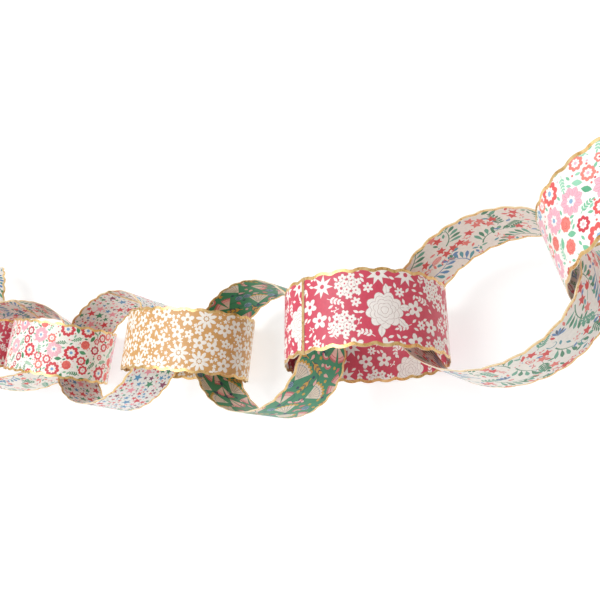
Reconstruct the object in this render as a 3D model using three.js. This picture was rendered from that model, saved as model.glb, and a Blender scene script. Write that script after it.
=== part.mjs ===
// Paper chain garland: ten printed paper strips, each bent into a loop through the one before it
// and glued to itself. Every second link stands on its long edge and the ones between lie on their
// sides, as the chain comes to rest on a table. Millimetres, +Z up, the table top is z = 0.
import * as THREE from "three";

// One strip, as cut
const STRIP_WIDTH = 31; // over the tops of the scallops
const STRIP_LENGTH = 221;
const PAPER_THICKNESS = 0.4;
const GLUED_OVERLAP = 10; // the far end laps over the near end
const LOOP_LENGTH = STRIP_LENGTH - GLUED_OVERLAP; // round the middle of the paper
const SCALLOPS_ROUND = 26; // scallops in one loop length, on each long edge
const SCALLOP_DEPTH = 1.1;
const STEPS_PER_SCALLOP = 5;
const STEP_LENGTH = 0.02; // how sharply the lapped end rises off the paper below it

const PAPER = { roughness: 0.6, metalness: 0 };

// Each link's middle, its turns in degrees (tip about X first, then roll about Y, then turn about Z),
// how far the loop is squeezed (second axis over first), and where round the loop (0 to 1) the lap starts.
// tip 0 stands on the long edge, tip -90 lies on its side.
const LINKS = [
  { name: "link_01", at: [-220.4, 19.1, 26.6], tip: 2.5, roll: -22.5, turn: -9.5,
    squeeze: 1.17, lap: 0.4, ground: 0xf3efe4 },
  { name: "link_02", at: [-184.3, -2.0, 34.5], tip: -90, roll: -7, turn: -10.5,
    squeeze: 1.04, lap: 0.2, ground: 0xa8304a },
  { name: "link_03", at: [-149.7, -9.1, 33.8], tip: -12.5, roll: 24, turn: 1.5,
    squeeze: 0.62, lap: 0.24, ground: 0xefe6d6 },
  { name: "link_04", at: [-110.1, -14.7, 29.4], tip: -93.5, roll: -10, turn: -7.5,
    squeeze: 0.72, lap: 0.2, ground: 0xf8f4ee },
  { name: "link_05", at: [-59.8, -17.5, 25.4], tip: -5.5, roll: 3, turn: 25,
    squeeze: 0.83, lap: 0.18, ground: 0xeeeae4 },
  { name: "link_06", at: [-2.3, -18.7, 29], tip: -93.5, roll: -7, turn: -4.5,
    squeeze: 0.71, lap: 0.2, ground: 0xdfa55f },
  { name: "link_07", at: [49.6, -23.7, 28.5], tip: -3, roll: -8, turn: -11.5,
    squeeze: 0.83, lap: 0.49, ground: 0x3f9a6c },
  { name: "link_08", at: [108, -20.1, 35.3], tip: -96.5, roll: 15, turn: 3,
    squeeze: 1, lap: 0.624, ground: 0xe05a68 },
  { name: "link_09", at: [162.6, -12.4, 32.2], tip: -10, roll: -4.5, turn: 12,
    squeeze: 0.8, lap: 0.03, ground: 0xeadfd6 },
  { name: "link_10", at: [218.3, 7.9, 36.7], tip: -101.5, roll: 9, turn: 18.5,
    squeeze: 1.01, lap: 0.2, ground: 0xf6f0ec },
];

// An ellipse whose way round is LOOP_LENGTH, by Ramanujan's formula.
function loopPath(squeeze) {
  const unitLength = Math.PI * (3 * (1 + squeeze) - Math.sqrt((3 + squeeze) * (1 + 3 * squeeze)));
  const first = LOOP_LENGTH / unitLength;
  const path = new THREE.EllipseCurve(0, 0, first, first * squeeze);
  path.arcLengthDivisions = 1000;
  return path;
}

// Half the strip's width at a fraction of the way round: shallow arcs that meet in points.
function halfWidth(fraction) {
  const acrossScallop = fraction * SCALLOPS_ROUND - Math.floor(fraction * SCALLOPS_ROUND);
  return STRIP_WIDTH / 2 - SCALLOP_DEPTH * (2 * acrossScallop - 1) ** 2;
}

// The places round the loop where the strip is drawn, with the paper's outer offset at each.
// Over the lap the paper is double.
function stations(lapStart) {
  const single = PAPER_THICKNESS / 2;
  const double = single + PAPER_THICKNESS;
  const rise = STEP_LENGTH / LOOP_LENGTH;
  const lapEnd = lapStart + GLUED_OVERLAP / LOOP_LENGTH;
  const steps = SCALLOPS_ROUND * STEPS_PER_SCALLOP;
  const list = [
    { fraction: lapStart - rise, outer: single },
    { fraction: lapStart, outer: double },
    { fraction: lapEnd - rise, outer: double },
    { fraction: lapEnd, outer: single },
  ];
  for (let i = 0; i < steps; i += 1) {
    const fraction = i / steps;
    const nearAnEnd = list.slice(0, 4).some((end) => Math.abs(end.fraction - fraction) < 0.3 / steps);
    if (nearAnEnd) continue;
    const inLap = fraction > lapStart && fraction < lapEnd;
    list.push({ fraction, outer: inLap ? double : single });
  }
  return list.sort((p, q) => p.fraction - q.fraction);
}

// The loop as one closed band: four corners at each station, joined to the next station's.
function linkGeometry({ squeeze, lap }) {
  const path = loopPath(squeeze);
  const places = stations(lap);
  const positions = [];
  for (const { fraction, outer } of places) {
    const point = path.getPointAt(fraction);
    const along = path.getTangentAt(fraction);
    const inner = -PAPER_THICKNESS / 2;
    const high = halfWidth(fraction);
    for (const [offset, height] of [[inner, -high], [outer, -high], [outer, high], [inner, high]]) {
      positions.push(point.x + along.y * offset, point.y - along.x * offset, height);
    }
  }
  const indices = [];
  places.forEach((_, i) => {
    const here = 4 * i;
    const next = 4 * ((i + 1) % places.length);
    for (let side = 0; side < 4; side += 1) {
      const other = (side + 1) % 4;
      indices.push(here + side, next + side, next + other);
      indices.push(here + side, next + other, here + other);
    }
  });
  const geometry = new THREE.BufferGeometry();
  geometry.setAttribute("position", new THREE.Float32BufferAttribute(positions, 3));
  geometry.setIndex(indices);
  geometry.computeVertexNormals();
  return geometry;
}

function makeLink(link) {
  const material = new THREE.MeshStandardMaterial({ color: link.ground, ...PAPER });
  const mesh = new THREE.Mesh(linkGeometry(link), material);
  mesh.name = link.name;
  mesh.position.set(...link.at);
  const [tip, roll, turn] = [link.tip, link.roll, link.turn].map(THREE.MathUtils.degToRad);
  mesh.rotation.set(tip, roll, turn, "ZYX");
  return mesh;
}

const garland = new THREE.Group();
garland.name = "paper_chain_garland";
garland.add(...LINKS.map(makeLink));

export default garland;
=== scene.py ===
"""Paper chain garland: the printed strips, their gold edges, and the table they lie on.

Each CAD link is replaced by a thin printed strip of the same size and place. A strip is drawn flat,
in millimetres, as an outline with a print of simple motifs. It is then cut into triangles along every
line of the drawing, coloured, and bent round its loop.
"""

import math
import random

import bpy
import numpy as np
from mathutils import Euler, Matrix, Vector
from mathutils.geometry import delaunay_2d_cdt

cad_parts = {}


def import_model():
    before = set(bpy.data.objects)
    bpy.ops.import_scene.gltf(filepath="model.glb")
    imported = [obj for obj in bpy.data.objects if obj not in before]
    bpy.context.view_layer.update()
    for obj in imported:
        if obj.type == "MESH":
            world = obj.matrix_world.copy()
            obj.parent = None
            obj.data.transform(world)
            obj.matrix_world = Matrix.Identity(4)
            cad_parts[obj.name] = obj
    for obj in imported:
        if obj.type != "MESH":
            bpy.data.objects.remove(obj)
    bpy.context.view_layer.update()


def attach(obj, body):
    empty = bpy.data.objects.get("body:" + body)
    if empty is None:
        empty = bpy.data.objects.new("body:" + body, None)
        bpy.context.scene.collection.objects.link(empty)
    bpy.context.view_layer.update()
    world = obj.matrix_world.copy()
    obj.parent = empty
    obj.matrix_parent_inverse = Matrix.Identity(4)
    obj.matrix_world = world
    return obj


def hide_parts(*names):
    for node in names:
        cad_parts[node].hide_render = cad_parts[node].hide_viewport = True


MM = 0.001

# One strip, the same size as its CAD solid
STRIP_WIDTH = 31.0
STRIP_LENGTH = 221.0
GLUED_OVERLAP = 10.0
LOOP_LENGTH = STRIP_LENGTH - GLUED_OVERLAP
SCALLOPS_ROUND = 26
SCALLOP_DEPTH = 1.1
PAPER_THICKNESS = 0.36  # a little under the solid's 0.4

# How finely it is drawn
POINTS_PER_SCALLOP = 6
BENDS = 60
GOLD_BORDER = 1.25
LIFT_LENGTH = 3.5  # the last stretch before the lap, over which the paper climbs onto its own start
LIFT = PAPER_THICKNESS + 0.04

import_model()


# ---------------------------------------------------------------- colours

def rgb(text):
    """A colour written as six hex digits, in linear light."""
    parts = [int(text[i:i + 2], 16) / 255 for i in (0, 2, 4)]
    return tuple(c / 12.92 if c < 0.04045 else ((c + 0.055) / 1.055) ** 2.4 for c in parts)


# ---------------------------------------------------------------- outlines of motifs, in mm

def moved(points, x, y, angle=0.0):
    c, s = math.cos(angle), math.sin(angle)
    return [(x + c * px - s * py, y + s * px + c * py) for px, py in points]


def disc(radius, points=12, squash=1.0):
    steps = (2 * math.pi * i / points for i in range(points))
    return [(radius * math.cos(a), radius * squash * math.sin(a)) for a in steps]


def petal_round(radius, petals, depth=0.35, points_each=6, sharp=1.0):
    """One closed outline of a flower with rounded petals."""
    out = []
    for i in range(petals * points_each):
        a = 2 * math.pi * i / (petals * points_each)
        swell = abs(math.sin(petals * a / 2)) ** sharp
        r = radius * (1 - depth + depth * swell)
        out.append((r * math.cos(a), r * math.sin(a)))
    return out


def star(radius, points=5, inner=0.42):
    out = []
    for i in range(2 * points):
        r = radius if i % 2 == 0 else radius * inner
        a = math.pi * i / points
        out.append((r * math.cos(a), r * math.sin(a)))
    return out


def leaf(length, width, steps=4):
    """A pointed leaf from the origin along +x."""
    upper = [(length * i / steps, width / 2 * math.sin(math.pi * i / steps)) for i in range(steps + 1)]
    lower = [(x, -y) for x, y in reversed(upper[1:-1])]
    return upper + lower


def petal(length, width, steps=5):
    """A blunt petal from the origin along +x, widest near its far end."""
    def half(t):
        return width / 2 * math.sin(math.pi * t ** 1.7) ** 0.8 if 0 < t < 1 else 0.0
    upper = [(length * i / steps, half(i / steps)) for i in range(steps + 1)]
    lower = [(x, -y) for x, y in reversed(upper[1:-1])]
    return upper + lower


def stroke(points, width, taper=False):
    """A line of a given width along a few points."""
    left, right = [], []
    last = len(points) - 1
    for i, (x, y) in enumerate(points):
        ax, ay = points[max(i - 1, 0)]
        bx, by = points[min(i + 1, last)]
        dx, dy = bx - ax, by - ay
        n = math.hypot(dx, dy) or 1.0
        w = width / 2 * (1 - 0.8 * i / last if taper else 1)
        left.append((x - dy / n * w, y + dx / n * w))
        right.append((x + dy / n * w, y - dx / n * w))
    return left + right[::-1]


def arc(radius, start, end, steps=8):
    return [(radius * math.cos(a), radius * math.sin(a))
            for a in (start + (end - start) * i / steps for i in range(steps + 1))]


def heart(size):
    out = []
    for i in range(14):
        t = 2 * math.pi * i / 14
        x = 16 * math.sin(t) ** 3
        y = 13 * math.cos(t) - 5 * math.cos(2 * t) - 2 * math.cos(3 * t) - math.cos(4 * t)
        out.append((x * size / 34, y * size / 34))
    return out


# ---------------------------------------------------------------- a strip's drawing

def grown(points, width):
    """A rounded outline made larger all round by a width."""
    middle_x = sum(px for px, _ in points) / len(points)
    middle_y = sum(py for _, py in points) / len(points)
    out = []
    for px, py in points:
        dx, dy = px - middle_x, py - middle_y
        scale = 1 + width / max(math.hypot(dx, dy), width)
        out.append((middle_x + dx * scale, middle_y + dy * scale))
    return out


class Drawing:
    """A strip's print: its ground colour and its motifs from the back to the front."""

    def __init__(self, ground, seed):
        self.ground = rgb(ground)
        self.shapes = []
        self.random = random.Random(seed)
        self.taken = np.empty((0, 3))

    def add(self, points, colour, x=0.0, y=0.0, angle=0.0):
        self.shapes.append((moved(points, x, y, angle), rgb(colour)))

    def outlined(self, points, colour, line, x, y, angle=0.0, width=0.16):
        """A shape with a thin line round it."""
        self.add(grown(points, width), line, x, y, angle)
        self.add(points, colour, x, y, angle)

    def places(self, radius, tries, spacing=1.0, length=0.0):
        """Random places for motifs of one size, clear of those placed before.

        A motif takes a disc, or a row of discs over its length. It may run off the strip's edges.
        """
        found = []
        row = np.linspace(-length / 2, length / 2, 1 + math.ceil(length / (1.5 * radius)))
        for _ in range(tries):
            x = self.random.uniform(0, STRIP_LENGTH)
            y = self.random.uniform(-STRIP_WIDTH / 2, STRIP_WIDTH / 2)
            angle = self.random.uniform(0, 2 * math.pi)
            discs = np.column_stack([x + row * math.cos(angle), y + row * math.sin(angle)])
            away = np.hypot(discs[:, None, 0] - self.taken[:, 0], discs[:, None, 1] - self.taken[:, 1])
            if np.all(away > (radius + self.taken[:, 2]) * spacing):
                self.taken = np.vstack([self.taken, np.column_stack([discs, np.full(len(row), radius)])])
                found.append((x, y, angle))
        return found


def half_width(fraction):
    """Half the strip's width at a fraction of the way round: shallow arcs that meet in points."""
    across_scallop = np.mod(np.asarray(fraction) * SCALLOPS_ROUND, 1)
    return STRIP_WIDTH / 2 - SCALLOP_DEPTH * (2 * across_scallop - 1) ** 2


def strip_edges(lap):
    """The strip's long edge, and the inner line of its gold border, as heights above its middle."""
    count = round(SCALLOPS_ROUND * STRIP_LENGTH / LOOP_LENGTH * POINTS_PER_SCALLOP)
    along = np.linspace(0, STRIP_LENGTH, count + 1)
    edge = half_width(lap + along / LOOP_LENGTH)
    reach = np.linspace(-GOLD_BORDER, GOLD_BORDER, 15)
    drop = np.sqrt(GOLD_BORDER ** 2 - reach ** 2)
    near = half_width(lap + (along[:, None] + reach[None]) / LOOP_LENGTH) - drop
    return along, edge, near.min(axis=1)


def inside_polygon(points, x, y):
    """Which of the places x, y lie inside a closed outline."""
    hit = np.zeros(len(x), bool)
    px, py = np.array(points).T
    for ax, ay, bx, by in zip(px, py, np.roll(px, -1), np.roll(py, -1)):
        if ay == by:
            continue
        crosses = (ay > y) != (by > y)
        hit ^= crosses & (x < (bx - ax) * (y - ay) / (by - ay) + ax)
    return hit


def triangles_of(drawing, lap):
    """Cuts the flat strip along every line of its drawing.

    Returns the places, the triangles, and each triangle's colour and whether it is gold.
    """
    along, edge, inner = strip_edges(lap)
    verts, edges = [], []

    def closed(points):
        first = len(verts)
        verts.extend(Vector(p) for p in points)
        n = len(points)
        edges.extend((first + i, first + (i + 1) % n) for i in range(n))

    outline = list(zip(along, edge)) + list(zip(along, -edge))[::-1]
    closed(outline)
    kept = (along > GOLD_BORDER) & (along < STRIP_LENGTH - GOLD_BORDER)
    in_x = np.concatenate([[GOLD_BORDER], along[kept], [STRIP_LENGTH - GOLD_BORDER]])
    in_y = np.interp(in_x, along, inner)
    closed(list(zip(in_x, in_y)) + list(zip(in_x, -in_y))[::-1])
    for i in range(1, BENDS):
        x = STRIP_LENGTH * i / BENDS
        first = len(verts)
        verts.extend((Vector((x, -STRIP_WIDTH)), Vector((x, STRIP_WIDTH))))
        edges.append((first, first + 1))
    for points, _ in drawing.shapes:
        closed(points)

    places, _, faces, _, _, _ = delaunay_2d_cdt(verts, edges, [], 0, 1e-4)
    places = np.array([tuple(p) for p in places])
    faces = np.array([f for f in faces if len(f) == 3])
    mid = places[faces].mean(axis=1)
    x, y = mid[:, 0], mid[:, 1]
    on_strip = (x > 0) & (x < STRIP_LENGTH) & (np.abs(y) < np.interp(x, along, edge))
    corner = places[faces]
    area = np.abs(np.cross(corner[:, 1] - corner[:, 0], corner[:, 2] - corner[:, 0]))
    on_strip &= area > 1e-6
    faces, x, y = faces[on_strip], x[on_strip], y[on_strip]

    colours = np.tile(drawing.ground, (len(faces), 1))
    for points, colour in drawing.shapes:
        lo, hi = np.min(points, axis=0), np.max(points, axis=0)
        near = np.flatnonzero((x > lo[0]) & (x < hi[0]) & (y > lo[1]) & (y < hi[1]))
        colours[near[inside_polygon(points, x[near], y[near])]] = colour
    gold = (np.abs(y) > np.interp(x, in_x, in_y)) | (x < in_x[0]) | (x > in_x[-1])
    return places, faces, colours, gold


# ---------------------------------------------------------------- bending a strip into its loop

class Loop:
    """An ellipse LOOP_LENGTH long, its places and outward directions found by the length round it."""

    def __init__(self, squeeze, steps=4000):
        unit = math.pi * (3 * (1 + squeeze) - math.sqrt((3 + squeeze) * (1 + 3 * squeeze)))
        self.first = LOOP_LENGTH / unit
        self.second = self.first * squeeze
        angles = np.linspace(0, 2 * np.pi, steps + 1)
        x, y = self.first * np.cos(angles), self.second * np.sin(angles)
        lengths = np.concatenate([[0], np.cumsum(np.hypot(np.diff(x), np.diff(y)))])
        self.angles, self.fractions = angles, lengths / lengths[-1]

    def at(self, fraction):
        angle = np.interp(np.mod(fraction, 1.0), self.fractions, self.angles)
        x, y = self.first * np.cos(angle), self.second * np.sin(angle)
        out = np.stack([self.second * np.cos(angle), self.first * np.sin(angle)], axis=-1)
        out /= np.linalg.norm(out, axis=-1, keepdims=True)
        return np.stack([x, y], axis=-1), out


def bend(places, link, side):
    """The flat places on the link's loop, on its outer side (+1) or inner side (-1), in metres."""
    x, y = places[:, 0], places[:, 1]
    middle, out = Loop(link["squeeze"]).at(link["lap"] + x / LOOP_LENGTH)
    climb = np.clip((x - LOOP_LENGTH + LIFT_LENGTH) / LIFT_LENGTH, 0, 1)
    lift = LIFT * climb ** 2 * (3 - 2 * climb)
    flat = middle + out * (side * PAPER_THICKNESS / 2 + lift)[:, None]
    local = np.column_stack([flat, y])
    normal = np.column_stack([out * side, np.zeros(len(y))])
    tip, roll, turn = (math.radians(link[k]) for k in ("tip", "roll", "turn"))
    turned = np.array(Euler((tip, roll, turn), "XYZ").to_matrix())
    return (local @ turned.T + link["at"]) * MM, normal @ turned.T


def strip_object(link, drawing):
    """The printed strip as one closed mesh: two printed sides and the cut edge between them."""
    places, faces, colours, gold = triangles_of(drawing, link["lap"])
    used, faces = np.unique(faces, return_inverse=True)
    places, faces = places[used], faces.reshape(-1, 3)
    count = len(places)
    outer, outer_normal = bend(places, link, 1)
    inner, inner_normal = bend(places, link, -1)

    # The strip's rim is the edges that only one triangle has.
    corners = np.concatenate([faces[:, [0, 1]], faces[:, [1, 2]], faces[:, [2, 0]]])
    keys = np.sort(corners, axis=1)
    _, first, seen = np.unique(keys, axis=0, return_index=True, return_counts=True)
    rim = corners[first[seen == 1]]

    back = faces[:, ::-1] + count
    walls = [[b, a, a + count, b + count] for a, b in rim]
    mesh = bpy.data.meshes.new(link["name"] + "_strip")
    mesh.from_pydata(np.concatenate([outer, inner]).tolist(), [], faces.tolist() + back.tolist() + walls)
    n = len(faces)

    mesh.materials.append(print_paper)
    mesh.materials.append(gold_foil)
    mesh.materials.append(cut_edge)
    slots = np.concatenate([gold, gold, np.full(len(walls), 2)]).astype(np.int32)
    mesh.polygons.foreach_set("material_index", slots)

    starts = np.empty(len(mesh.polygons), np.int32)
    totals = np.empty(len(mesh.polygons), np.int32)
    mesh.polygons.foreach_get("loop_start", starts)
    mesh.polygons.foreach_get("loop_total", totals)
    face_of_corner = np.repeat(np.arange(len(totals)), totals)
    vertex_of_corner = np.empty(len(mesh.loops), np.int32)
    mesh.loops.foreach_get("vertex_index", vertex_of_corner)

    face_colours = np.concatenate([colours, colours, np.tile(rgb("F4EEE2"), (len(walls), 1))])
    paint = mesh.color_attributes.new("print", "FLOAT_COLOR", "CORNER")
    rgba = np.column_stack([face_colours, np.ones(len(face_colours))])[face_of_corner]
    paint.data.foreach_set("color", rgba.astype(np.float32).ravel())

    flat = np.concatenate([places, places])[vertex_of_corner]
    layer = mesh.uv_layers.new(name="strip")
    side = np.where(face_of_corner < n, 1, -1)
    layer.data.foreach_set("uv", (flat / 10).astype(np.float32).ravel())
    baked = mesh.uv_layers.new(name="OFBake")
    centres = np.concatenate([places[faces].mean(axis=1)[:, 0]] * 2 + [np.full(len(walls), 1.0)])
    baked.data.foreach_set("uv", baked_map(flat, centres[face_of_corner], side).astype(np.float32).ravel())

    normals = np.concatenate([outer_normal, inner_normal])[vertex_of_corner]
    flat_wall = face_of_corner >= 2 * n
    face_normals = np.empty(len(mesh.polygons) * 3, np.float32)
    mesh.polygons.foreach_get("normal", face_normals)
    normals[flat_wall] = face_normals.reshape(-1, 3)[face_of_corner[flat_wall]]
    mesh.normals_split_custom_set(normals.tolist())
    mesh.validate()
    ob = bpy.data.objects.new(link["name"] + "_strip", mesh)
    bpy.context.scene.collection.objects.link(ob)
    return ob


def baked_map(flat, centre, side):
    """Each corner's place on one square map.

    The strip lies there in four stretches, with its two sides beside each other.
    """
    rows = 4
    stretch = STRIP_LENGTH / rows
    row = np.clip((centre / stretch).astype(int), 0, rows - 1)
    u = (flat[:, 0] - row * stretch) / stretch
    v = flat[:, 1] / STRIP_WIDTH + 0.5
    column = np.where(side > 0, 0, 1)
    return np.column_stack([(column + 0.02 + 0.96 * u) / 2, (row + 0.03 + 0.94 * v) / rows])


# ---------------------------------------------------------------- materials

def material(name):
    m = bpy.data.materials.new(name)
    m.use_nodes = True
    tree = m.node_tree
    return m, tree, tree.nodes["Principled BSDF"]


def noise(tree, scale, detail=4.0):
    node = tree.nodes.new("ShaderNodeTexNoise")
    node.inputs["Scale"].default_value = scale
    node.inputs["Detail"].default_value = detail
    place = tree.nodes.new("ShaderNodeTexCoord")
    tree.links.new(place.outputs["Object"], node.inputs["Vector"])
    return node


def ramp(tree, source, low, high, to_low, to_high):
    node = tree.nodes.new("ShaderNodeMapRange")
    node.inputs["From Min"].default_value = low
    node.inputs["From Max"].default_value = high
    node.inputs["To Min"].default_value = to_low
    node.inputs["To Max"].default_value = to_high
    tree.links.new(source, node.inputs["Value"])
    return node.outputs["Result"]


def bump(tree, shader, source, strength, distance):
    node = tree.nodes.new("ShaderNodeBump")
    node.inputs["Strength"].default_value = strength
    node.inputs["Distance"].default_value = distance
    tree.links.new(source, node.inputs["Height"])
    tree.links.new(node.outputs["Normal"], shader.inputs["Normal"])


def print_paper_material():
    """Smooth coated paper: the print's colours, faintly mottled, over a fine tooth."""
    m, tree, shader = material("print_paper")
    ink = tree.nodes.new("ShaderNodeVertexColor")
    ink.layer_name = "print"
    mottle = ramp(tree, noise(tree, 900).outputs["Fac"], 0.3, 0.7, 0.93, 1.04)
    shade = tree.nodes.new("ShaderNodeVectorMath")
    shade.operation = "SCALE"
    tree.links.new(ink.outputs["Color"], shade.inputs[0])
    tree.links.new(mottle, shade.inputs["Scale"])
    tree.links.new(shade.outputs["Vector"], shader.inputs["Base Color"])
    tooth = noise(tree, 2500, 3.0)
    tree.links.new(ramp(tree, tooth.outputs["Fac"], 0.3, 0.7, 0.38, 0.5), shader.inputs["Roughness"])
    shader.inputs["Specular IOR Level"].default_value = 0.5
    bump(tree, shader, tooth.outputs["Fac"], 0.15, 0.00004)
    return m


def gold_foil_material():
    """Gold foil pressed along the edges: warm, a little uneven, brighter where it is rubbed."""
    m, tree, shader = material("gold_foil")
    wear = tree.nodes.new("ShaderNodeValToRGB")
    wear.color_ramp.elements[0].color = (*rgb("D9A558"), 1)
    wear.color_ramp.elements[1].color = (*rgb("FADCA0"), 1)
    grain = noise(tree, 420, 5.0)
    tree.links.new(ramp(tree, grain.outputs["Fac"], 0.3, 0.7, 0, 1), wear.inputs["Fac"])
    tree.links.new(wear.outputs["Color"], shader.inputs["Base Color"])
    shader.inputs["Metallic"].default_value = 0.55
    tree.links.new(ramp(tree, grain.outputs["Fac"], 0.3, 0.7, 0.24, 0.36), shader.inputs["Roughness"])
    bump(tree, shader, noise(tree, 1800).outputs["Fac"], 0.2, 0.00004)
    return m


def cut_edge_material():
    """The paper's cut edge: bare fibre."""
    m, tree, shader = material("cut_edge")
    fibre = tree.nodes.new("ShaderNodeValToRGB")
    fibre.color_ramp.elements[0].color = (*rgb("D9C7A0"), 1)
    fibre.color_ramp.elements[1].color = (*rgb("F3E9D4"), 1)
    tree.links.new(noise(tree, 2200).outputs["Fac"], fibre.inputs["Fac"])
    tree.links.new(fibre.outputs["Color"], shader.inputs["Base Color"])
    shader.inputs["Roughness"].default_value = 0.8
    return m


print_paper = print_paper_material()
gold_foil = gold_foil_material()
cut_edge = cut_edge_material()


# ---------------------------------------------------------------- motifs

def blossom(d, x, y, r, angle, petals, colour, line, heart_colour):
    """A flower of round petals with a fine line round it, and a small heart."""
    d.outlined(petal_round(r, petals, 0.55, 5), colour, line, x, y, angle)
    d.add(disc(r * 0.24, 7), heart_colour, x, y)


def small_flower(d, x, y, r, angle, petals, colour, heart_colour):
    """A flower of round petals with no line round it."""
    d.add(petal_round(r, petals, 0.5, 4), colour, x, y, angle)
    d.add(disc(r * 0.22, 5), heart_colour, x, y)


def aster(d, x, y, r, angle, colour, line, heart_colour):
    """Eight pointed petals round a heart."""
    d.outlined(star(r, 8, 0.45), colour, line, x, y, angle)
    d.add(disc(r * 0.2, 8), heart_colour, x, y)


def peony(d, x, y, r, angle, colour, line):
    """A full round blossom: rings of petals inside one another, each with a fine line round it."""
    for k, (size, petals) in enumerate(((1.0, 9), (0.8, 8), (0.6, 7), (0.4, 5), (0.2, 3))):
        d.outlined(petal_round(r * size, petals, 0.2, 5), colour, line, x, y, angle + 0.35 * k)


def posy(d, x, y, r, angle, colour, line, heart_colour):
    """A round head of many small five-petalled flowers."""
    for ring, count in ((0.74, 7), (0.3, 3)):
        for i in range(count):
            a = angle + 2 * math.pi * i / count
            spot = (x + r * ring * math.cos(a), y + r * ring * math.sin(a))
            d.outlined(petal_round(r * 0.36, 5, 0.4, 3), colour, line, *spot, a)
            d.add(disc(r * 0.07, 6), heart_colour, *spot)


def veined_leaf(d, x, y, angle, length, width, colour, line):
    d.outlined(leaf(length, width), colour, line, x, y, angle)
    d.add(stroke([(length * 0.1, 0), (length * 0.85, 0)], 0.14), line, x, y, angle)


def ring_flower(d, x, y, r, angle, colour, middle, heart_colour, petals=8):
    """A round scalloped flower with a pale middle."""
    d.add(petal_round(r, petals, 0.2, 5), colour, x, y, angle)
    d.add(petal_round(r * 0.56, petals, 0.25, 5), middle, x, y, angle)
    d.add(disc(r * 0.22, 7), heart_colour, x, y)


def ruffled_daisy(d, x, y, r, angle, colour, line, middle, heart_colour):
    """Nine broad notched petals round a pale middle."""
    for i in range(9):
        a = angle + 2 * math.pi * i / 9
        d.outlined(petal(r, r * 0.52), colour, line, x, y, a, 0.16)
        d.add(stroke([(r * 0.5, 0), (r * 0.85, 0)], 0.18), line, x, y, a)
    d.add(petal_round(r * 0.42, 7, 0.3, 4), middle, x, y, angle)
    d.add(disc(r * 0.18, 7), heart_colour, x, y)


def rose(d, x, y, r, angle, colour, line):
    """A round rose: a scalloped disc with a few curled lines."""
    d.add(petal_round(r, 9, 0.12, 4), colour, x, y, angle)
    for k, size in enumerate((0.72, 0.48, 0.24)):
        start = 1.7 * k
        d.add(stroke(arc(r * size, start, start + 3.6, 8), r * 0.09), line, x, y, angle)


def sprig(d, x, y, angle, length, colour, pairs=4, leaf_length=1.6, leaf_width=0.7, curl=0.6):
    """A curved stem from x, y with leaves in pairs and one at its tip."""
    def on_stem(t):
        return length * t * math.cos(curl * t), length * t * math.sin(curl * t)

    d.add(stroke([on_stem(i / 8) for i in range(9)], 0.3, taper=True), colour, x, y, angle)
    for i in range(1, pairs + 1):
        t = i / (pairs + 0.6)
        spot = moved([on_stem(t)], x, y, angle)[0]
        for side in (-1, 1):
            lean = angle + 2 * curl * t + side * 0.75
            d.add(leaf(leaf_length * (1.15 - 0.4 * t), leaf_width), colour, *spot, lean)
    d.add(leaf(leaf_length, leaf_width), colour, *moved([on_stem(1)], x, y, angle)[0], angle + 2 * curl)


def berry_sprig(d, x, y, angle, length, colour, berries=3):
    """A thin forked stem with round berries."""
    d.add(stroke([(0, 0), (length, 0)], 0.26), colour, x, y, angle)
    for i in range(berries):
        t = (i + 1) / berries
        side = 1 if i % 2 else -1
        tip = (length * t, side * length * 0.3 * (1.3 - t))
        d.add(stroke([(length * t * 0.6, 0), tip], 0.2), colour, x, y, angle)
        d.add(disc(length * 0.11, 8), colour, *moved([tip], x, y, angle)[0])


def plume(d, x, y, angle, length, colours, curl):
    """A sweeping spray: a curled stem with long leaves along its outer side."""
    steps = 7
    for i in range(1, steps + 1):
        t = i / steps
        a = curl * t
        spot = moved([(length * t * math.cos(a), length * t * math.sin(a))], x, y, angle)[0]
        lean = angle + 2 * a - math.copysign(0.85, curl)
        d.add(petal(length * (0.48 - 0.24 * t), 1.7), colours[i % len(colours)], *spot, lean)
    stem = [(length * t * math.cos(curl * t), length * t * math.sin(curl * t))
            for t in (i / 9 for i in range(10))]
    d.add(stroke(stem, 0.6, taper=True), colours[0], x, y, angle)


def scroll(d, x, y, angle, size, colour):
    """A curl that winds inwards."""
    line = [(size * (1 - t) * math.cos(5.6 * t), size * (1 - t) * math.sin(5.6 * t))
            for t in (i / 14 * 0.86 for i in range(15))]
    d.add(stroke(line, 0.5, taper=True), colour, x, y, angle)


def tulip(d, x, y, angle, size, colour, stem_colour):
    """A cup with three points on a short stem."""
    d.add(stroke([(-size * 1.3, 0), (0, 0)], 0.26), stem_colour, x, y, angle)
    cup = [(0, -0.25), (0.35, -0.5), (1.0, -0.55), (0.72, -0.25), (1.1, 0), (0.72, 0.25), (1.0, 0.55),
           (0.35, 0.5), (0, 0.25)]
    d.add([(px * size, py * size) for px, py in cup], colour, x, y, angle)


def striped_oval(d, x, y, angle, size, colour, line):
    d.add(disc(size, 14, 0.58), colour, x, y, angle)
    for k in (-2, -1, 0, 1, 2):
        half = size * 0.85 * math.sqrt(1 - (k / 3) ** 2)
        d.add(stroke([(-half, 0.19 * k * size), (half, 0.19 * k * size)], 0.13), line, x, y, angle)


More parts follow.
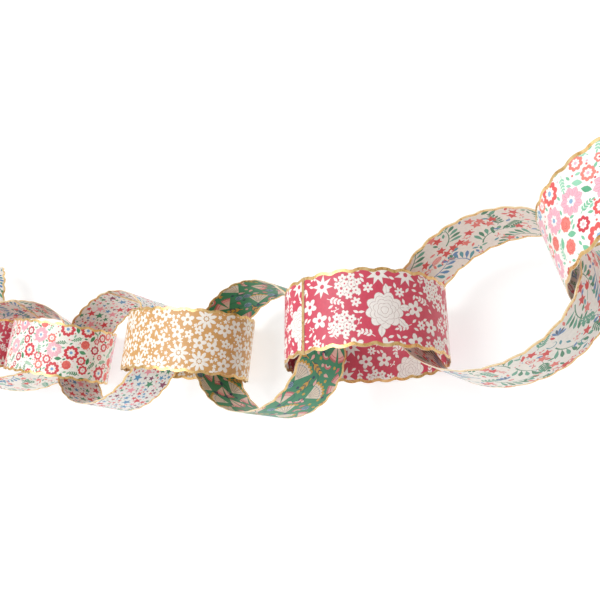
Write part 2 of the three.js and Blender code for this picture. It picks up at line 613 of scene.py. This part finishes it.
def fan(d, x, y, angle, r, spread, colours):
    """An open fan from its pivot: a scalloped rim, a band of beads, and ribs."""
    segments = 6

    def edge(reach, bumps):
        steps = segments * 4
        out = []
        for i in range(steps + 1):
            a = -spread / 2 + spread * i / steps
            far = reach + bumps * abs(math.sin(math.pi * i / 4))
            out.append((far * math.cos(a), far * math.sin(a)))
        return out

    rim, ground, rib, bead = colours
    d.add([(0.0, 0.0)] + edge(r * 0.98, r * 0.12), rim, x, y, angle)
    d.add([(0.0, 0.0)] + edge(r * 0.87, r * 0.1), ground, x, y, angle)
    for i in range(1, segments):
        a = -spread / 2 + spread * i / segments
        c, s = math.cos(a), math.sin(a)
        d.add(stroke([(r * 0.2 * c, r * 0.2 * s), (r * 0.84 * c, r * 0.84 * s)], 0.24), rib, x, y, angle)
    for i in range(segments * 2):
        a = -spread / 2 + spread * (i + 0.5) / (segments * 2)
        d.add(disc(0.26, 6), bead, *moved([(r * 0.8 * math.cos(a), r * 0.8 * math.sin(a))], x, y, angle)[0])


def feather(d, x, y, angle, length, quill, barb):
    """A quill with a row of slanting barbs along each side."""
    count = 9
    for i in range(count):
        t = i / count
        spot = moved([(length * t, 0)], x, y, angle)[0]
        for side in (-1, 1):
            d.add(leaf(2.9 - 1.3 * t, 0.7), quill if i % 3 else barb, *spot, angle + 0.55 * side)
    d.add(stroke([(-1.0, 0), (length, 0)], 0.45, taper=True), quill, x, y, angle)


def crescent(d, x, y, angle, size, outer, inner):
    """Two curved bands, one inside the other."""
    d.add(stroke(arc(size, 0.2, 2.9), 0.9), outer, x, y, angle)
    d.add(stroke(arc(size * 0.66, 0.3, 2.8), 0.6), inner, x, y, angle)


# ---------------------------------------------------------------- prints

def blossom_print(ground, white, line, seed):
    """White peonies, asters, posies, sprays and small flowers with fine lines on a plain ground."""
    d = Drawing(ground, seed)
    pick = d.random
    for x, y, a in d.places(8.0, 40, 1.05):
        for k in range(4):
            lean = a + 1.1 * k + pick.uniform(-0.3, 0.3)
            spot = (x + 5.5 * math.cos(lean), y + 5.5 * math.sin(lean))
            veined_leaf(d, *spot, lean + pick.uniform(-0.3, 0.3), 5.0, 2.6, white, line)
        peony(d, x, y, 7.2, a, white, line)
    for x, y, a in d.places(4.6, 60, 1.1):
        if pick.random() < 0.4:
            posy(d, x, y, 5.0, a, white, line, ground)
        else:
            aster(d, x, y, 4.7, a, white, line, ground)
    for x, y, a in d.places(3.4, 170, 0.98):
        blossom(d, x, y, 3.4, a, 5, white, line, ground)
    for x, y, a in d.places(1.5, 700, 0.92, length=5.0):
        sprig(d, *moved([(-2.8, 0)], x, y, a)[0], a, 5.4, white, 3, 2.0, 1.0, pick.uniform(-0.5, 0.5))
    for x, y, a in d.places(2.1, 800, 0.93):
        small_flower(d, x, y, 2.1, a, pick.choice((6, 7)), white, ground)
    for x, y, a in d.places(1.1, 900, 0.95, length=2.6):
        berry_sprig(d, *moved([(-1.6, 0)], x, y, a)[0], a, 3.0, white)
    for x, y, a in d.places(0.8, 1200, 0.95):
        d.add(leaf(2.4, 1.1), white, *moved([(-1.1, 0)], x, y, a)[0], a)
    return d


def small_blossom_print(ground, white, line, seed):
    """White blossoms of several sizes, buds and leaves, close together on a warm ground."""
    d = Drawing(ground, seed)
    pick = d.random
    for x, y, a in d.places(4.9, 26, 1.1):
        blossom(d, x, y, 5.0, a, 9, white, line, line)
        d.add(petal_round(1.5, 8, 0.3, 4), line, x, y, a)
        d.add(disc(0.9, 9), white, x, y)
    for x, y, a in d.places(3.2, 400, 0.92):
        blossom(d, x, y, 3.5, a, pick.choice((5, 5, 6)), white, ground, line)
    for x, y, a in d.places(2.1, 900, 0.92):
        small_flower(d, x, y, 2.4, a, 5, white, line)
    for x, y, a in d.places(1.0, 1100, 0.92, length=2.8):
        for side in (-1, 1):
            spot = moved([(-1.9, 0)], x, y, a)[0]
            d.add(leaf(3.4, 1.1), white, *spot, a + 0.28 * side)
    for x, y, a in d.places(1.1, 1600, 0.92):
        d.add(petal_round(1.1, 5, 0.45, 3), white, x, y, a)
    for x, y, a in d.places(0.5, 2000, 1.0):
        d.add(disc(0.42, 6), white, x, y)
    return d


def garden_print(ground, reds, pinks, pink_line, greens, blue, seed):
    """Round red flowers, ruffled pink daisies, roses, a few blue ones and many leaves on white."""
    d = Drawing(ground, seed)
    pick = d.random
    for x, y, a in d.places(4.2, 90, 1.02):
        if pick.random() < 0.62:
            ruffled_daisy(d, x, y, 4.6, a, pick.choice(pinks), pink_line, ground, blue)
        else:
            ring_flower(d, x, y, 4.2, a, reds[0], ground, blue, 9)
    for x, y, a in d.places(2.6, 420, 0.95):
        if pick.random() < 0.3:
            rose(d, x, y, 2.6, a, reds[2], reds[0])
        else:
            ring_flower(d, x, y, 2.7, a, pick.choice(reds), ground, pick.choice(pinks), 8)
    for x, y, a in d.places(1.2, 800, 0.92, length=4.4):
        sprig(d, *moved([(-2.8, 0)], x, y, a)[0], a, 5.0, pick.choice(greens), 4, 1.6, 0.7,
              pick.uniform(-0.5, 0.5))
    for x, y, a in d.places(1.3, 1000, 0.9, length=2.4):
        d.add(leaf(4.2, 2.1), pick.choice(greens), *moved([(-2.1, 0)], x, y, a)[0], a)
    for x, y, a in d.places(1.7, 900, 0.92):
        if pick.random() < 0.25:
            d.add(petal_round(1.9, 5, 0.4), blue, x, y, a)
            d.add(disc(0.5, 6), ground, x, y)
        else:
            ring_flower(d, x, y, 1.8, a, pick.choice(reds), ground, reds[0], 6)
    for x, y, a in d.places(0.8, 1800, 0.92):
        d.add(leaf(2.2, 1.0), pick.choice(greens), *moved([(-1.1, 0)], x, y, a)[0], a)
    for x, y, a in d.places(0.5, 1500, 0.95):
        d.add(disc(0.42, 6), pick.choice(reds + pinks), x, y)
    return d


def star_print(ground, colours, dots, seed):
    """Loose five-pointed stars of several sizes over fine dots."""
    d = Drawing(ground, seed)
    pick = d.random
    for size, tries in ((3.0, 150), (2.0, 320), (1.4, 900), (0.9, 2200)):
        for x, y, a in d.places(size * 0.86, tries, 0.95):
            d.add(star(size), pick.choice(colours), x, y, a)
    for x, y, a in d.places(0.24, 4200, 1.25):
        d.add(disc(0.24, 5), pick.choice(dots), x, y)
    return d


def fan_print(ground, shade, cream, cream_rib, pink, red, navy, sky, gold, seed):
    """Cream and pink fans, gold feathers, crescents and navy buds over darker waves on green."""
    d = Drawing(ground, seed)
    pick = d.random
    for i in range(22):
        wave = [(t * 1.6, 2.2 * math.sin(t * 0.9)) for t in range(9)]
        d.add(stroke(wave, 0.8), shade, i * 10.0, pick.uniform(-12, 12), pick.uniform(-0.6, 0.6))
    for x, y, a in d.places(5.3, 220, 0.9):
        pivot = moved([(-4.8, 0)], x, y, a)[0]
        if pick.random() < 0.6:
            fan(d, *pivot, a, 9.0, pick.uniform(1.15, 1.45), (gold, cream, cream_rib, sky))
        else:
            for side in (-1, 1):
                fan(d, *pivot, a + 0.42 * side, 7.8, 0.62, (red, pink, cream, red))
        d.add(petal(3.0, 2.0), navy, *pivot, a + math.pi)
        d.add(stroke(arc(3.0, -0.6, 1.6), 0.6, taper=True), navy, *pivot, a + math.pi)
    for x, y, a in d.places(1.9, 420, 0.9, length=6.0):
        feather(d, *moved([(-4.0, 0)], x, y, a)[0], a, 7.5, gold, navy)
    for x, y, a in d.places(2.0, 260, 0.92):
        if pick.random() < 0.5:
            crescent(d, x, y, a, 2.0, red, cream)
        else:
            d.add(disc(1.9, 12), sky, x, y)
            for k in (-1, 0, 1):
                d.add(stroke(arc(1.5, -0.9, 0.9, 5), 0.3), navy, x + 0.8 * k - 1.0, y)
    for x, y, a in d.places(1.3, 900, 0.92, length=1.6):
        d.add(petal(3.6, 1.7), pick.choice((pink, pink, red)), *moved([(-1.8, 0)], x, y, a)[0], a)
    for x, y, a in d.places(0.9, 900, 0.95):
        d.add(petal_round(0.9, 5, 0.3, 4), pick.choice((navy, gold, pink)), x, y, a)
    return d


def folk_print(ground, reds, greens, blues, slate, seed):
    """Sweeping sprays, twigs, tulips, hearts, stars and scrolls scattered on cream."""
    d = Drawing(ground, seed)
    pick = d.random
    for x, y, a in d.places(3.8, 120, 0.92, length=7.0):
        bend_way = pick.choice((-0.8, 0.8))
        plume(d, *moved([(-6.8, 0)], x, y, a)[0], a, 14.0, pick.choice((greens, blues)), bend_way)
    for x, y, a in d.places(1.9, 260, 0.95, length=6.6):
        sprig(d, *moved([(-4.3, 0)], x, y, a)[0], a, 8.0, pick.choice(greens), 5, 2.9, 1.05,
              pick.uniform(-0.5, 0.5))
    for x, y, a in d.places(2.4, 420, 0.95):
        kind = pick.randrange(5)
        if kind == 0:
            scroll(d, x, y, a, 2.6, blues[1])
        elif kind == 1:
            striped_oval(d, x, y, a, 2.7, reds[1], ground)
        elif kind == 2:
            d.add(heart(4.2), reds[1], x, y, a)
            d.add(heart(3.0), ground, x, y, a)
            d.add(heart(1.6), reds[1], x, y, a)
        elif kind == 3:
            tulip(d, x, y, a, 3.0, reds[0], greens[0])
        else:
            root = moved([(-2, 0)], x, y, a)[0]
            for k in range(-2, 3):
                d.add(petal(3.8, 1.1), slate if k % 2 else blues[0], *root, a + 0.5 * k)
    for x, y, a in d.places(1.6, 900, 0.92):
        d.add(star(2.4, inner=0.48), pick.choice(reds), x, y, a)
    for x, y, a in d.places(0.9, 900, 0.92, length=2.4):
        berry_sprig(d, *moved([(-1.6, 0)], x, y, a)[0], a, 3.2, pick.choice(reds))
    for x, y, a in d.places(0.95, 2600, 0.9):
        d.add(leaf(2.9, 1.2), pick.choice(greens + blues + reds), *moved([(-1.3, 0)], x, y, a)[0], a)
    for x, y, a in d.places(0.45, 1800, 1.0):
        d.add(disc(0.34, 6), pick.choice(reds + blues), x, y)
    return d


# Each link as its CAD solid has it: its middle, its turns in degrees (tip about X, then roll about Y,
# then turn about Z), how far the loop is squeezed, and where round it (0 to 1) the lap starts.
LINKS = [
    dict(name="link_01", at=(-220.4, 19.1, 26.6), tip=2.5, roll=-22.5, turn=-9.5, squeeze=1.17, lap=0.4),
    dict(name="link_02", at=(-184.3, -2.0, 34.5), tip=-90, roll=-7, turn=-10.5, squeeze=1.04, lap=0.2),
    dict(name="link_03", at=(-149.7, -9.1, 33.8), tip=-12.5, roll=24, turn=1.5, squeeze=0.62, lap=0.24),
    dict(name="link_04", at=(-110.1, -14.7, 29.4), tip=-93.5, roll=-10, turn=-7.5, squeeze=0.72, lap=0.2),
    dict(name="link_05", at=(-59.8, -17.5, 25.4), tip=-5.5, roll=3, turn=25, squeeze=0.83, lap=0.18),
    dict(name="link_06", at=(-2.3, -18.7, 29.0), tip=-93.5, roll=-7, turn=-4.5, squeeze=0.71, lap=0.2),
    dict(name="link_07", at=(49.6, -23.7, 28.5), tip=-3, roll=-8, turn=-11.5, squeeze=0.83, lap=0.49),
    dict(name="link_08", at=(108.0, -20.1, 35.3), tip=-96.5, roll=15, turn=3, squeeze=1.0, lap=0.624),
    dict(name="link_09", at=(162.6, -12.4, 32.2), tip=-10, roll=-4.5, turn=12, squeeze=0.8, lap=0.03),
    dict(name="link_10", at=(218.3, 7.9, 36.7), tip=-101.5, roll=9, turn=18.5, squeeze=1.01, lap=0.2),
]

CORAL = dict(ground="D64A61", white="FBF4EE", line="C2A9A4")
GARDEN = dict(ground="F8F4EC", reds=["D8414B", "C23348", "EE7468"], pinks=["F3AEBB", "F6BFC8"],
              pink_line="E48C9E", greens=["3C8A58", "55A070", "7DBC94"], blue="7FA9D0")
MINT_GARDEN = dict(ground="FBF8F3", reds=["E8605E", "D64452", "F0877C"], pinks=["F8C8D3", "F6BAC9"],
                   pink_line="E794A8", greens=["7CC7A0", "9AD8B8", "5DB086"], blue="8FB6D6")
FOLK = dict(ground="F2EAE0", reds=["DB3F38", "E9746A"], greens=["3F8560", "5FA488"],
            blues=["5C88B8", "4E96A0"], slate="4A6078")
FANS = dict(ground="3A9168", shade="2C7D5E", cream="EADBC6", cream_rib="A9937F", pink="F3B9B0", red="DE6A74",
            navy="27405E", sky="7E9DB3", gold="D8A63F")
GOLD_FOLK = dict(FOLK, reds=["D9B64A", "E3C463"])

PRINTS = {
    "link_01": lambda: folk_print(**GOLD_FOLK, seed=1),
    "link_02": lambda: blossom_print(**CORAL, seed=2),
    "link_03": lambda: folk_print(**FOLK, seed=3),
    "link_04": lambda: garden_print(**GARDEN, seed=4),
    "link_05": lambda: star_print("F0ECE6", ["D9414A", "4F92BC", "43906A", "F09AA6", "8A3B5C", "D9414A"],
                                  ["8D97A3", "C97F8A", "7FA08F", "8A5B6C"], seed=5),
    "link_06": lambda: small_blossom_print("D8A363", "FBF5EB", "CFA067", seed=6),
    "link_07": lambda: fan_print(**FANS, seed=7),
    "link_08": lambda: blossom_print(**CORAL, seed=138),
    "link_09": lambda: folk_print(**FOLK, seed=9),
    "link_10": lambda: garden_print(**MINT_GARDEN, seed=10),
}

for link in LINKS:
    strip = strip_object(link, PRINTS[link["name"]]())
    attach(strip, "root")
    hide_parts(link["name"])


# ---------------------------------------------------------------- table, camera and light

def floor():
    size = 6.0
    mesh = bpy.data.meshes.new("floor")
    corners = [(-size, -size, 0), (size, -size, 0), (size, size, 0), (-size, size, 0)]
    mesh.from_pydata(corners, [], [(0, 1, 2, 3)])
    m, tree, shader = material("floor_white")
    shader.inputs["Base Color"].default_value = (0.5, 0.5, 0.5, 1)
    shader.inputs["Roughness"].default_value = 0.9
    shader.inputs["Emission Color"].default_value = (1, 1, 1, 1)
    shader.inputs["Emission Strength"].default_value = 0.6
    mesh.materials.append(m)
    ob = bpy.data.objects.new("floor", mesh)
    bpy.context.scene.collection.objects.link(ob)


def camera():
    """Looks down from the right of the chain, turned so that the chain runs across the picture."""
    at = Vector((0.2481, -0.0588, 0.2768))
    aim = Vector((0.0741, -0.0034, 0.0350))
    roll = math.radians(-75.7)
    data = bpy.data.cameras.new("camera")
    data.lens = 40.38
    data.sensor_width = 36.0
    ob = bpy.data.objects.new("camera", data)
    facing = (aim - at).to_track_quat("-Z", "Y").to_matrix().to_4x4()
    ob.matrix_world = Matrix.Translation(at) @ facing @ Matrix.Rotation(roll, 4, "Z")
    bpy.context.scene.collection.objects.link(ob)
    bpy.context.scene.camera = ob


def area_light(name, at, aim, size, watts):
    data = bpy.data.lights.new(name, "AREA")
    data.shape = "DISK"
    data.size = size
    data.energy = watts
    ob = bpy.data.objects.new(name, data)
    ob.location = at
    ob.rotation_euler = (Vector(aim) - Vector(at)).to_track_quat("-Z", "Y").to_euler()
    bpy.context.scene.collection.objects.link(ob)


def world(strength):
    w = bpy.data.worlds.new("studio")
    w.use_nodes = True
    back = w.node_tree.nodes["Background"]
    back.inputs["Color"].default_value = (1, 1, 1, 1)
    back.inputs["Strength"].default_value = strength
    bpy.context.scene.world = w


floor()
camera()
world(0.42)
area_light("key", (-0.2, 0.25, 1.1), (0, 0, 0), 0.9, 9.5)
area_light("front", (-0.5, -1.0, 0.7), (-0.1, 0, 0), 1.2, 5.5)
bpy.context.scene.view_settings.view_transform = "Standard"
